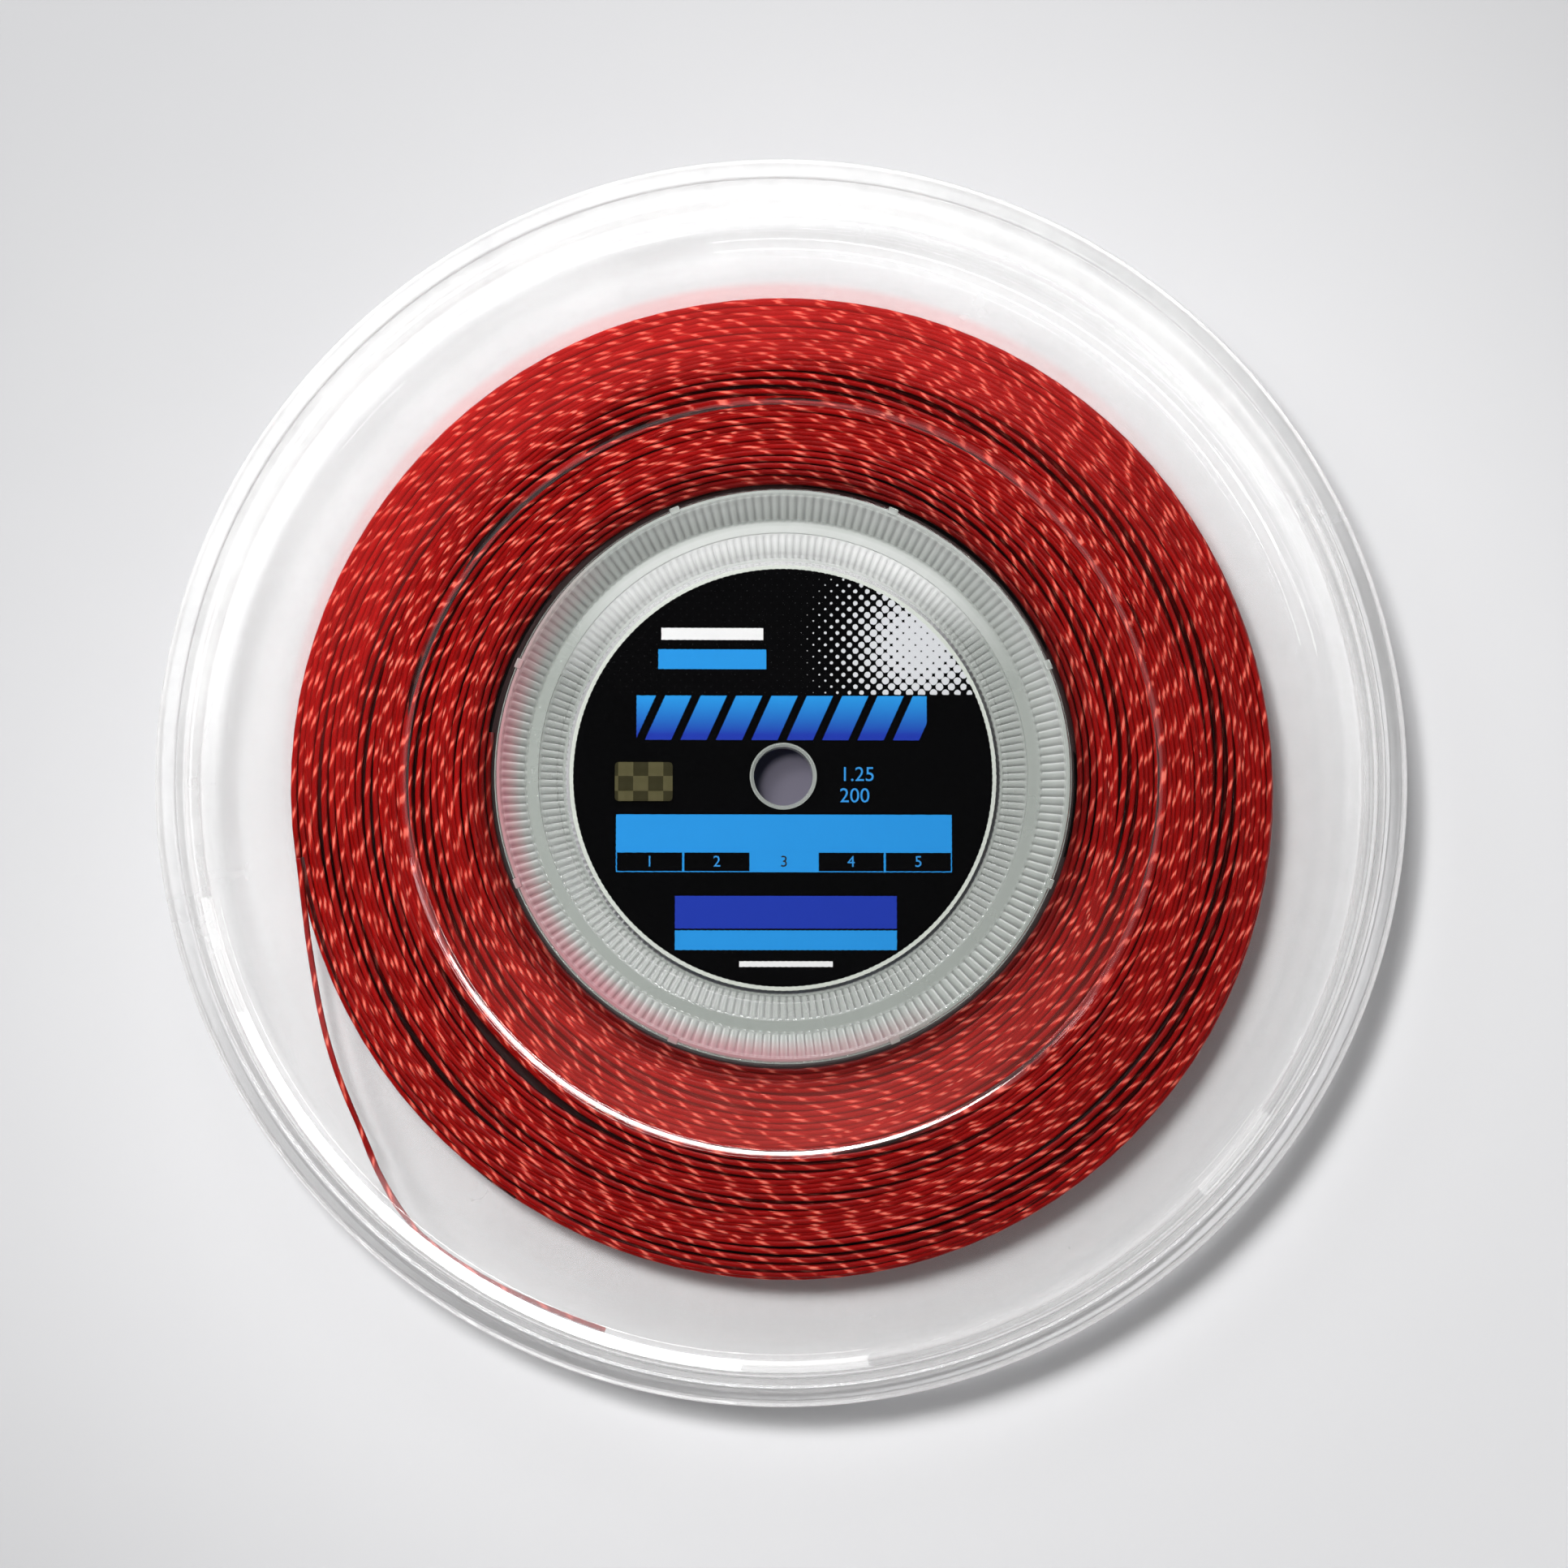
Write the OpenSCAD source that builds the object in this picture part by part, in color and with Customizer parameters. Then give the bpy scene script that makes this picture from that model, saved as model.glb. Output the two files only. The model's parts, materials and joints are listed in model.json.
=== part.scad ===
/* [Spool] */
// Outer diameter of both flanges
reel_d = 265; // [258:1:275]
// Overall width over both rims
reel_w = 26; // [25:0.5:32]
// Moulded wall of the flanges
flange_wall = 1.5; // [1.3:0.1:1.7]
// Inside width of the string channel next to the drum
channel_w = 14; // [13:0.5:14.5]
// Radius of the step where the flange leaves its inner zone
step_r = 80.2; // [76:0.2:90]
// Outside radius of the drum that the string is wound on
drum_r = 61.6; // [61.4:0.1:62]
// Wall of the drum
drum_wall = 1.4; // [1.4:0.1:1.6]

/* [Hub] */
// Radius of the opening in each flange
flange_bore_r = 61.2; // [61.1:0.1:61.3]
// Radius where the fluted collar ends and its ledge begins
ledge_outer_r = 54.7; // [54:0.1:55]
// Radius where the ledge ends and the cup begins
ledge_inner_r = 52.4; // [52.2:0.1:52.8]
// Radius of the cup's clear floor
cup_floor_r = 47.4; // [47.2:0.1:47.8]
// Radius of the printed label
label_r = 46; // [44:0.5:46]
// Radius of the hole for the stand's spindle
spindle_r = 6.35; // [5:0.05:6.4]
// Number of snap lugs round each collar
lug_count = 8; // [4:1:12]
// Number of flutes round each collar and each cup
flute_count = 200; // [100:10:200]

/* [String] */
// Diameter of the racket string
string_d = 1.25; // [1.1:0.01:1.25]
// Outside radius of the wound string
winding_r = 105; // [104:0.5:106]
// Turns that the outer layer is drawn with
outer_turns = 8.5; // [6:0.5:8.5]

/* [Hidden] */

round_fn = 180;
small_fn = 48;

// Heights of the front half, counted from the plane midway between the flanges
mid_z = reel_w / 2;
rim_h = reel_w / 2;
flange_in_h = channel_w / 2;
flange_out_h = flange_in_h + flange_wall;
zone_step = 1.2;
shelf_out_h = flange_out_h + zone_step;

// The flange rises outwards in three creases to a rolled rim
shelf_end_r = 116.5;
terrace_start = [118, 0.5];
terrace_end = [121.5, 0.8];
slope_top = [124.6, 2.5];
back_shift = 0.5;
reel_r = reel_d / 2;
bead_w = 4.3;
bead_round = 1.2;
bead_base_h = 9;
lip_r = 126.6;
lip_w = 2;
lip_base_h = 8;
lip_round = 0.8;
arc_steps = 5;

// Collar, cup and bush
part_gap = 0.1;
collar_r = flange_bore_r - part_gap;
skirt_r = drum_r - drum_wall - part_gap;
skirt_wall = 1.3;
skirt_end_h = 3.2;
land_w = 0.6;
ledge_h = 4.9;
ledge_t = 1;
cup_lip_t = 1.3;
cup_lip_r = 55;
web_out_h = 1.7;
web_t = 1.2;
pocket_r = label_r + 0.6;
cup_foot_r = 48.8;
bush_wall = 0.5;
bush_fit = 0.05;
bush_lip_r = spindle_r + 0.85;
bush_lip_t = 0.4;
flute_r = 0.6;
flute_depth = 0.25;
flute_end = 0.4;
lug_w = 2.2;
lug_t = 0.7;
lug_root = 0.6;
lug_reach = 0.8;

// Label and seal
label_t = 0.4;
label_gap = 0.05;
label_hole_r = spindle_r + 0.7;
seal_size = [12.4, 8.4, 0.12];
seal_centre = [-30, -1.2];

// Wound string
string_r = string_d / 2;
tube_sides = 6;
rings_per_turn = 24;
wall_gap = 0.1;
outer_turn_r = winding_r - string_r;
core_r = outer_turn_r * cos(180 / rings_per_turn) - string_r - 0.1;
first_turn_h = -7.45;
last_turn_h = 7.05;
last_turn_angle = 188;
first_turn_angle = last_turn_angle - 360 * outer_turns;
elbow_r = 1.6;
knot_angle = 205;
knot_r = 1.7;
knot_pos_r = 57.6;
knot_hole_r = string_r + 0.1;

// Route of the loose end: off the winding, across the channel and along the foot of the flange's slope
tail_sides = 8;
tail_route = [
    [-102.8, -18.1, 20.1], [-102.3, -21.6, 20.1], [-101.7, -26.5, 20.1], [-101.1, -31.0, 20.1],
    [-100.5, -35.5, 20.1], [-99.4, -42.0, 20.1], [-98.1, -49.0, 20.1], [-96.4, -56.0, 20.1],
    [-94.3, -62.6, 20.1], [-92.2, -68.0, 20.1], [-89.8, -73.6, 20.2], [-87.5, -79.0, 20.4],
    [-85.1, -84.2, 20.7], [-81.7, -90.0, 21.1], [-77.5, -95.5, 21.5], [-74.7, -98.2, 21.6],
    [-71.0, -101.0, 21.6], [-66.5, -103.9, 21.6], [-60.5, -107.3, 21.5], [-54.6, -110.1, 21.5],
    [-50.7, -111.8, 21.4], [-46.7, -113.4, 21.4], [-42.0, -115.2, 21.4], [-37.4, -116.9, 21.4]
];

// A closed tube of equal rings along a path, each ring square to the path
function unit(v) = v / norm(v);
function heading(path, i) = unit(path[min(i + 1, len(path) - 1)] - path[max(i - 1, 0)]);
function sideways(d) = unit(cross(d, abs(d[2]) > 0.9 ? [1, 0, 0] : [0, 0, 1]));
function ring(path, i, r, sides) = let (d = heading(path, i), s = sideways(d), u = cross(s, d))
    [for (k = [0:sides - 1]) path[i] + r * (cos(360 * k / sides) * u + sin(360 * k / sides) * s)];

module tube(path, r, sides) {
    rings = len(path);
    points = [for (i = [0:rings - 1]) each ring(path, i, r, sides)];
    side_faces = [for (i = [0:rings - 2], k = [0:sides - 1])
        let (a = i * sides + k, b = i * sides + (k + 1) % sides)
        each [[a, b, b + sides], [a, b + sides, a + sides]]];
    start_faces = [for (k = [1:sides - 2]) [0, k + 1, k]];
    last = (rings - 1) * sides;
    end_faces = [for (k = [1:sides - 2]) [last, last + k, last + k + 1]];
    polyhedron(points, concat(side_faces, start_faces, end_faces));
}

// One extra ring between each pair of route points, on a smooth curve through them
function route_point(p, i) = p[max(0, min(i, len(p) - 1))];
function between(p, i, t) = let (a = route_point(p, i - 1), b = route_point(p, i),
        c = route_point(p, i + 1), d = route_point(p, i + 2))
    b + t / 2 * (c - a) + t * t / 2 * (2 * a - 5 * b + 4 * c - d) + t * t * t / 2 * (3 * b - a - 3 * c + d);
function smooth_route(p) = [for (i = [0:len(p) - 2]) each [p[i], between(p, i, 1 / 2)], p[len(p) - 1]];

// The outer layer: up out of the winding, round and round across the channel, off to the tail
function on_turn(angle, r, h) = [r * cos(angle), r * sin(angle), mid_z + h];
first_dir = [-sin(first_turn_angle), cos(first_turn_angle), 0];
first_out = [cos(first_turn_angle), sin(first_turn_angle), 0];
elbow_centre = on_turn(first_turn_angle, outer_turn_r - elbow_r, first_turn_h) - elbow_r * first_dir;
elbow_path = [for (a = [0:30:60]) elbow_centre
    + elbow_r * (sin(a) * first_out + (1 - cos(a)) * first_dir)];
ring_count = round(outer_turns * rings_per_turn);
helix_path = [for (i = [0:ring_count]) on_turn(first_turn_angle + i * 360 / rings_per_turn,
    outer_turn_r, first_turn_h + (last_turn_h - first_turn_h) * i / ring_count)];
tail_dir = unit(tail_route[1] - tail_route[0]);
outer_path = concat([elbow_centre - string_d * first_out], elbow_path, helix_path,
    [tail_route[0] - string_d * tail_dir, tail_route[0]]);

function least(v, i = 0, m = 1e9) = i == len(v) ? m : least(v, i + 1, min(m, v[i]));
outer_rings = [for (i = [0:len(outer_path) - 1]) ring(outer_path, i, string_r, tube_sides)];
function ring_gap(a, b) = least([for (p = a, q = b) norm(p - q)]);
outer_gap = least([for (i = [0:len(outer_rings) - 1], j = [i + 18:min(i + 30, len(outer_rings) - 1)])
    ring_gap(outer_rings[i], outer_rings[j])]);
echo(least_gap_between_outer_turns = outer_gap, core_r = core_r);

module front() { translate([0, 0, mid_z]) children(); }
module rear() { translate([0, 0, mid_z]) mirror([0, 0, 1]) children(); }

// Section of the front flange: the outer face, round the rolled rim and its lip, and back inside
function reversed(v) = [for (i = [len(v) - 1:-1:0]) v[i]];
function arc(x, y, r, from, to) = [for (i = [0:arc_steps]) let (a = from + (to - from) * i / arc_steps)
    [x + r * cos(a), y + r * sin(a)]];
slope_top_h = shelf_out_h + slope_top[1];
face_line = [
    [flange_bore_r, flange_out_h], [step_r - zone_step / 2, flange_out_h],
    [step_r + zone_step / 2, shelf_out_h], [shelf_end_r, shelf_out_h],
    [terrace_start[0], shelf_out_h + terrace_start[1]], [terrace_end[0], shelf_out_h + terrace_end[1]],
    [slope_top[0], slope_top_h]
];
back_line = [for (i = [0:len(face_line) - 1]) face_line[i] + [i == 0 ? 0 : back_shift, -flange_wall]];
inner_round = rim_h - slope_top_h;
rim_line = concat(
    arc(reel_r - bead_w + inner_round, slope_top_h, inner_round, 180, 90),
    arc(reel_r - bead_round, rim_h - bead_round, bead_round, 90, 0),
    arc(reel_r - bead_round, bead_base_h + bead_round, bead_round, 0, -90),
    [[lip_r + lip_w, bead_base_h]],
    arc(lip_r + lip_w - lip_round, lip_base_h + lip_round, lip_round, 0, -90),
    arc(lip_r + lip_round, lip_base_h + lip_round, lip_round, -90, -180),
    [[lip_r, slope_top_h - flange_wall]]
);

module flange() {
    rotate_extrude($fn = round_fn) polygon(concat(face_line, rim_line, reversed(back_line)));
}

// Grooves down a cone from its wide top edge to its narrow foot
module flutes(top_r, top_h, foot_r, foot_h, foot_end) {
    slope = atan2(top_h - foot_h, top_r - foot_r);
    slant = norm([top_r - foot_r, top_h - foot_h]);
    for (i = [0:flute_count - 1]) rotate(360 * i / flute_count)
        translate([foot_r, 0, foot_h]) rotate([0, 90 - slope, 0])
            translate([flute_depth - flute_r, 0, foot_end])
                cylinder(r = flute_r, h = slant - flute_end - foot_end, $fn = small_fn / 2);
}

module collar() {
    cone_drop = flange_out_h - ledge_h;
    cone_run = collar_r - land_w - ledge_outer_r;
    back_r = skirt_r - skirt_wall;
    back_start_r = ledge_outer_r + 0.6;
    difference() {
        rotate_extrude($fn = round_fn) polygon([
            [collar_r, flange_out_h], [collar_r - land_w, flange_out_h], [ledge_outer_r, ledge_h],
            [ledge_inner_r, ledge_h], [ledge_inner_r, ledge_h - ledge_t], [back_start_r, ledge_h - ledge_t],
            [back_r, ledge_h - ledge_t + (back_r - back_start_r) * cone_drop / cone_run],
            [back_r, skirt_end_h], [skirt_r, skirt_end_h], [skirt_r, flange_in_h], [collar_r, flange_in_h]
        ]);
        flutes(collar_r - land_w, flange_out_h, ledge_outer_r, ledge_h, flute_end);
    }
    for (i = [0:lug_count - 1]) rotate(360 * (i + 0.5) / lug_count) {
        translate([collar_r - 2 * lug_root, -lug_w / 2, flange_out_h - lug_root])
            cube([2 * lug_root, lug_w, lug_root + lug_t]);
        translate([collar_r - lug_root, -lug_w / 2, flange_out_h])
            cube([lug_root + lug_reach, lug_w, lug_t]);
    }
}

module cup() {
    lip_h = ledge_h - ledge_t;
    hole_r = spindle_r + bush_wall + bush_fit;
    difference() {
        rotate_extrude($fn = round_fn) polygon([
            [cup_lip_r, lip_h], [ledge_inner_r, lip_h], [cup_floor_r, web_out_h],
            [hole_r, web_out_h], [hole_r, web_out_h - web_t],
            [pocket_r, web_out_h - web_t], [pocket_r, 0], [cup_foot_r, 0], [cup_foot_r, web_out_h - web_t],
            [ledge_inner_r, lip_h - cup_lip_t], [cup_lip_r, lip_h - cup_lip_t]
        ]);
        flutes(ledge_inner_r, lip_h, cup_floor_r, web_out_h, -flute_end);
    }
}

module label_disc() {
    difference() {
        translate([0, 0, label_gap]) cylinder(r = label_r, h = label_t, $fn = round_fn);
        translate([0, 0, -1]) cylinder(r = label_hole_r, h = 3, $fn = small_fn);
    }
}

module front_flange() { color([0.93, 0.93, 0.93, 0.35]) front() flange(); }
module rear_flange() { color([0.93, 0.93, 0.93, 0.35]) rear() flange(); }
module front_collar() { color([0.78, 0.8, 0.78, 0.6]) front() collar(); }
module rear_collar() { color([0.78, 0.8, 0.78, 0.6]) rear() collar(); }
module front_cup() { color([0.82, 0.84, 0.8, 0.5]) front() cup(); }
module rear_cup() { color([0.82, 0.84, 0.8, 0.5]) rear() cup(); }
module front_label() { color([0.03, 0.03, 0.03]) front() label_disc(); }
module rear_label() { color([0.03, 0.03, 0.03]) rear() label_disc(); }

module drum() {
    color([0.85, 0.85, 0.85, 0.5]) translate([0, 0, mid_z]) difference() {
        cylinder(r = drum_r, h = channel_w, center = true, $fn = round_fn);
        cylinder(r = drum_r - drum_wall, h = channel_w + 2, center = true, $fn = round_fn);
        rotate(knot_angle) translate([drum_r - drum_wall - 2, 0, 0]) rotate([0, 90, 0])
            cylinder(r = knot_hole_r, h = drum_wall + 4, $fn = small_fn);
    }
}

module centre_bush() {
    color([0.8, 0.8, 0.82, 0.6]) translate([0, 0, mid_z]) difference() {
        union() {
            cylinder(r = spindle_r + bush_wall, h = 2 * web_out_h, center = true, $fn = round_fn);
            for (s = [-1, 1]) translate([0, 0, s * (web_out_h + bush_lip_t / 2)])
                cylinder(r = bush_lip_r, h = bush_lip_t, center = true, $fn = round_fn);
        }
        cylinder(r = spindle_r, h = 4 * web_out_h, center = true, $fn = round_fn);
    }
}

module foil_seal() {
    color([0.25, 0.24, 0.14]) translate([seal_centre[0], seal_centre[1], mid_z + web_out_h + seal_size[2] / 2])
        cube(seal_size, center = true);
}

module string_winding() {
    half_in = flange_in_h - wall_gap;
    half_out = half_in + zone_step;
    bend_r = step_r + back_shift;
    color([0.68, 0.08, 0.08]) translate([0, 0, mid_z]) rotate_extrude($fn = round_fn) polygon([
        [drum_r + wall_gap, -half_in], [bend_r - zone_step / 2, -half_in], [bend_r + zone_step / 2, -half_out],
        [core_r, -half_out], [core_r, half_out], [bend_r + zone_step / 2, half_out],
        [bend_r - zone_step / 2, half_in], [drum_r + wall_gap, half_in]
    ]);
}

module string_outer_turns() { color([0.8, 0.12, 0.1]) tube(outer_path, string_r, tube_sides); }
module string_tail() { color([0.72, 0.1, 0.1]) tube(smooth_route(tail_route), string_r, tail_sides); }

module string_start_knot() {
    color([0.72, 0.1, 0.1]) translate([0, 0, mid_z]) rotate(knot_angle) {
        translate([knot_pos_r, 0, 0]) sphere(r = knot_r, $fn = small_fn);
        translate([knot_pos_r, 0, 0]) rotate([0, 90, 0])
            cylinder(r = string_r, h = drum_r + wall_gap / 2 - knot_pos_r, $fn = small_fn);
    }
}

front_flange();
rear_flange();
drum();
front_collar();
rear_collar();
front_cup();
rear_cup();
centre_bush();
front_label();
rear_label();
foil_seal();
string_winding();
string_outer_turns();
string_start_knot();
string_tail();
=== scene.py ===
# %% [markdown]
# # A reel of tennis string
#
# The reel is a clear moulded spool: two dished flanges on a drum, a fluted collar and a fluted cup on
# each side, and a printed label under a clear floor. Some 200 m of red string is wound on the drum. The
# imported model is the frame: every piece here is made in its place, in metres, with +Z along the axis.
# We first load that frame and read the few sizes that everything else follows.

# %% Load the frame and read its sizes
import json
import math
from collections import namedtuple

import bmesh
import bpy
import numpy as np
from mathutils import Matrix, Vector

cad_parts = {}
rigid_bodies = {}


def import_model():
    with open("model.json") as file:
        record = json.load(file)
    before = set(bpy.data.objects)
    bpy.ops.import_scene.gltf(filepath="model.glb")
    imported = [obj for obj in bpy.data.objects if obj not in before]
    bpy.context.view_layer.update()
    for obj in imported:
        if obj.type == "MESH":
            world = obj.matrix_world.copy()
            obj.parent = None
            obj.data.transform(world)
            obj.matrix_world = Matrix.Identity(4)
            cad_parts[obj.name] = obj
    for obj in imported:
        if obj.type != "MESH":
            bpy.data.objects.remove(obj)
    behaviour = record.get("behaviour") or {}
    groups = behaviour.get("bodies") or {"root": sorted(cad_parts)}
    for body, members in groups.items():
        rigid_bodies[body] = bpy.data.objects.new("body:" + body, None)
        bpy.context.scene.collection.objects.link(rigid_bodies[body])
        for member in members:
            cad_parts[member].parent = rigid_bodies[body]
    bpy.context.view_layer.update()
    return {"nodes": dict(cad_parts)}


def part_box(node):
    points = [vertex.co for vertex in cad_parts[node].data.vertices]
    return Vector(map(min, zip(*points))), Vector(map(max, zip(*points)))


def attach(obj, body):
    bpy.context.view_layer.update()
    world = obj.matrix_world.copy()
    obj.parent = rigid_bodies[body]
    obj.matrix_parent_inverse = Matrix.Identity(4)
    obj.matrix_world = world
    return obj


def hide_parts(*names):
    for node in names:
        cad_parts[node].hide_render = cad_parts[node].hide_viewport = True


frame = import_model()

MM = 0.001
scene = bpy.context.scene
MID_Z = sum(corner.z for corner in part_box("drum")) / 2
REEL_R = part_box("front_flange")[1].x
REEL_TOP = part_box("front_flange")[1].z
DRUM_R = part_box("drum")[1].x
LABEL_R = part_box("front_label")[1].x
WINDING_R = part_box("string_winding")[1].x
print("reel", round(2 * REEL_R, 4), "m across and", round(REEL_TOP, 4), "m wide")
print("mid-plane at", round(MID_Z, 4))

# %% [markdown]
# ## The camera
#
# We look at the reel's front from above, with the camera a little towards the bottom edge, so that the
# deep hub shifts slightly against the rim. The lens is worked out from the share of the picture that
# the rim fills. A camera that looks nearly straight down has no natural "up", so its axes are built by
# hand from world +Y.

# %% Place the camera
CAMERA_HEIGHT = 0.60
CAMERA_FOOT = Vector((-0.014, -0.052, 0))
AIM = Vector((-0.0001, -0.0026, 0))
HALF_PICTURE_PX = 966
RIM_R_PX = 773
SENSOR_W = 36.0

rim_centre = Vector((0, 0, REEL_TOP))
look_at = rim_centre + AIM
camera_at = rim_centre + CAMERA_FOOT + Vector((0, 0, CAMERA_HEIGHT))
back = (camera_at - look_at).normalized()
right = Vector((0, 1, 0)).cross(back).normalized()
turned = Matrix((right, back.cross(right), back)).transposed().to_4x4()
half_view = REEL_R * HALF_PICTURE_PX / RIM_R_PX
camera_data = bpy.data.cameras.new("camera")
camera_data.sensor_width = SENSOR_W
camera_data.lens = SENSOR_W / 2 * (camera_at - look_at).length / half_view
camera = bpy.data.objects.new("camera", camera_data)
camera.matrix_world = Matrix.Translation(camera_at) @ turned
scene.collection.objects.link(camera)
scene.camera = camera
print("lens", round(camera_data.lens, 1), "mm")

# %% [markdown]
# ## Writing shaders as sums
#
# A node tree is easier to read as a formula. `Wire` wraps a node's output and overloads the operators,
# also the reflected ones, so that `1 - mask` adds a Math node. `Finish` is one material, and its `node`
# method adds any other node: first its settings, then the values or wires of its sockets.


# %% Wire and Finish
class Wire:
    """A node's output that can be used in sums."""

    def __init__(self, finish, made, output=0):
        self.finish = finish
        self.made = made
        self.socket = made.outputs[output]

    def output(self, name):
        return Wire(self.finish, self.made, name)

    def maths(self, operation, *others):
        return self.finish.maths(operation, self, *others)

    def __add__(self, other):
        return self.maths("ADD", other)

    def __sub__(self, other):
        return self.maths("SUBTRACT", other)

    def __mul__(self, other):
        return self.maths("MULTIPLY", other)

    def __truediv__(self, other):
        return self.maths("DIVIDE", other)

    def __pow__(self, other):
        return self.maths("POWER", other)

    def __rsub__(self, other):
        return self.finish.maths("SUBTRACT", other, self)

    __radd__ = __add__
    __rmul__ = __mul__

    def far(self, other):
        """How far this is from another value."""
        return (self - other).maths("ABSOLUTE")

    def below(self, edge, soft):
        """1 where this is under edge and 0 over it, over a soft stretch."""
        ramp = {"Value": self, "From Min": edge + soft / 2, "From Max": edge - soft / 2}
        return self.finish.node("ShaderNodeMapRange", {}, ramp)

    def between(self, low, high):
        """This, from 0 to 1, stretched over low to high."""
        return self.finish.node("ShaderNodeMapRange", {}, {"Value": self, "To Min": low, "To Max": high})


class Finish:
    """The nodes of one material or world, and the one method that adds to them."""

    def __init__(self, owner):
        self.owner = owner
        owner.use_nodes = True
        self.tree = owner.node_tree
        self.tree.nodes.clear()

    def node(self, kind, settings, sockets, output=0):
        made = self.tree.nodes.new(kind)
        for key, value in settings.items():
            setattr(made, key, value)
        for key, value in sockets.items():
            if isinstance(value, Wire):
                self.tree.links.new(value.socket, made.inputs[key])
            else:
                made.inputs[key].default_value = value
        return Wire(self, made, output) if len(made.outputs) else None

    def maths(self, operation, *values):
        return self.node("ShaderNodeMath", {"operation": operation}, dict(enumerate(values)))

    def place(self):
        """A point's place on the piece as a vector, as x and y, and as its distance from the axis."""
        at = self.node("ShaderNodeTexCoord", {}, {}, "Object")
        x = self.node("ShaderNodeSeparateXYZ", {}, {"Vector": at})
        y = x.output("Y")
        return at, x, y, (x * x + y * y).maths("SQRT")

    def vector(self, x, y=0.0, z=0.0):
        return self.node("ShaderNodeCombineXYZ", {}, {"X": x, "Y": y, "Z": z})

    def noise(self, vector, scale, detail=2.0, roughness=0.5):
        wanted = {"Vector": vector, "Scale": scale, "Detail": detail, "Roughness": roughness}
        return self.node("ShaderNodeTexNoise", {}, wanted)

    def mix(self, share, first, second):
        """Two colours mixed by a share from 0 to 1."""
        return self.node("ShaderNodeMix", {"data_type": "RGBA"}, {0: share, 6: first, 7: second}, 2)

    def bump(self, height, distance):
        return self.node("ShaderNodeBump", {}, {"Height": height, "Distance": distance})

    def principled(self, **sockets):
        named = {key.replace("_", " "): value for key, value in sockets.items()}
        return self.node("ShaderNodeBsdfPrincipled", {}, named)

    def blend(self, share, first, second):
        """Two shaders mixed by a share from 0 to 1."""
        return self.node("ShaderNodeMixShader", {}, {0: share, 1: first, 2: second})

    def use(self, shader):
        self.node("ShaderNodeOutputMaterial", {}, {"Surface": shader})
        return self.owner


def new_finish(name):
    return Finish(bpy.data.materials.new(name))


print("shader helpers are ready")

# %% [markdown]
# ## The string's finish
#
# The string is a red core with a pearly thread wrapped round it. Each time the thread comes over the
# side that we see, it shows as a short slanted tick. The pattern has to follow the string round and
# round, so it reads the strand's own UV map: metres along it and turns around it. A helix is then just
# the sum of the two. Slow noises along the strand shift the ticks and make some of them faint, because
# a real thread is never wound evenly. Turns that lie deeper, and those close to the hub, get painted
# shade: their red is mixed towards black.

# %% Red string
TICK_EVERY = 7.4 * MM
TICK_SHARE = 0.085
GLOW_SHARE = 0.15
HUB_SHADE_R = 66 * MM
HUB_SHADE = 0.45
STRING_DEEP = (0.13, 0.001, 0.001, 1)
STRING_RED = (0.26, 0.002, 0.002, 1)
STRING_STREAK = (0.36, 0.004, 0.003, 1)
STRING_GLOW = (0.50, 0.014, 0.008, 1)
STRING_PEARL = (0.80, 0.18, 0.13, 1)
BLACK = (0, 0, 0, 1)


def string_finish(name, shade):
    """Red string with pearly ticks. The shade is 1 in full light and less for turns that lie deeper; it is
    painted shade.
    """
    finish = new_finish(name)
    uv = finish.node("ShaderNodeTexCoord", {}, {}, "UV")
    along = finish.node("ShaderNodeSeparateXYZ", {}, {"Vector": uv})
    around = along.output("Y")
    drift = finish.noise(finish.vector(along), 3.1, 1.0)
    slow = finish.noise(finish.vector(along), 40.0, 1.0)
    lively = finish.noise(finish.vector(along, 3.0), 210.0, 1.0)
    streaks = finish.noise(finish.vector(along * 260, around * 9), 1.0, 3.0)

    turn = (along / TICK_EVERY + around + drift * 9 + slow * 2.2 + streaks * 0.3).maths("FRACT").far(0.5)
    facing = (around * 4 + 0.5).maths("FRACT").far(0.5).below(0.40, 0.24)
    strong = facing * lively.between(-1.5, 3.1).maths("MINIMUM", 1.0)
    glow = turn.below(GLOW_SHARE, 0.14) * strong
    pearl = turn.below(TICK_SHARE, 0.08) * strong

    base = finish.mix(slow.between(-1.0, 2.0), STRING_DEEP, STRING_RED)
    base = finish.mix(streaks.between(0.0, 0.5), base, STRING_STREAK)
    colour = finish.mix(glow, base, STRING_GLOW)
    colour = finish.mix(pearl, colour, STRING_PEARL)
    radius = finish.place()[3]
    # Painted shade: the red goes towards black on turns near the hub and by the shade argument.
    dark = (radius.below(HUB_SHADE_R, 5 * MM) * (1 - HUB_SHADE) + 1 - shade).maths("MINIMUM", 1.0)
    colour = finish.mix(dark, colour, BLACK)
    return finish.use(finish.principled(
        Base_Color=colour, Roughness=0.42, Normal=finish.bump(pearl + streaks * 0.3, 0.03 * MM),
        Specular_IOR_Level=0.1, Subsurface_Weight=0.4, Subsurface_Radius=(1.0, 0.12, 0.08),
        Subsurface_Scale=1.0 * MM,
    ))


RED_STRING = string_finish("string_red", 1.0)
# A copy with painted shade, for the turns that lie under others.
SHADED_STRING = string_finish("string_in_the_shade", 0.14)
print("made", RED_STRING.name, "and", SHADED_STRING.name)

# %% [markdown]
# ## Turning a flat ribbon into a strand
#
# All the string is made by one function. It starts from a flat grid, rolls the grid's short side round
# into a tube and lays its long side along a line of points. The grid brings its own UV map, and the
# seam is merged once the tube is closed, so the pattern runs on round it. A bevelled curve would do for
# one short end, but a winding of thousands of rings needs a line that we can compute, and UVs in
# metres.


# %% The strand and the piece
STRING_R = 1.25 / 2 * MM
UP = np.array((0.0, 0.0, 1.0))


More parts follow.
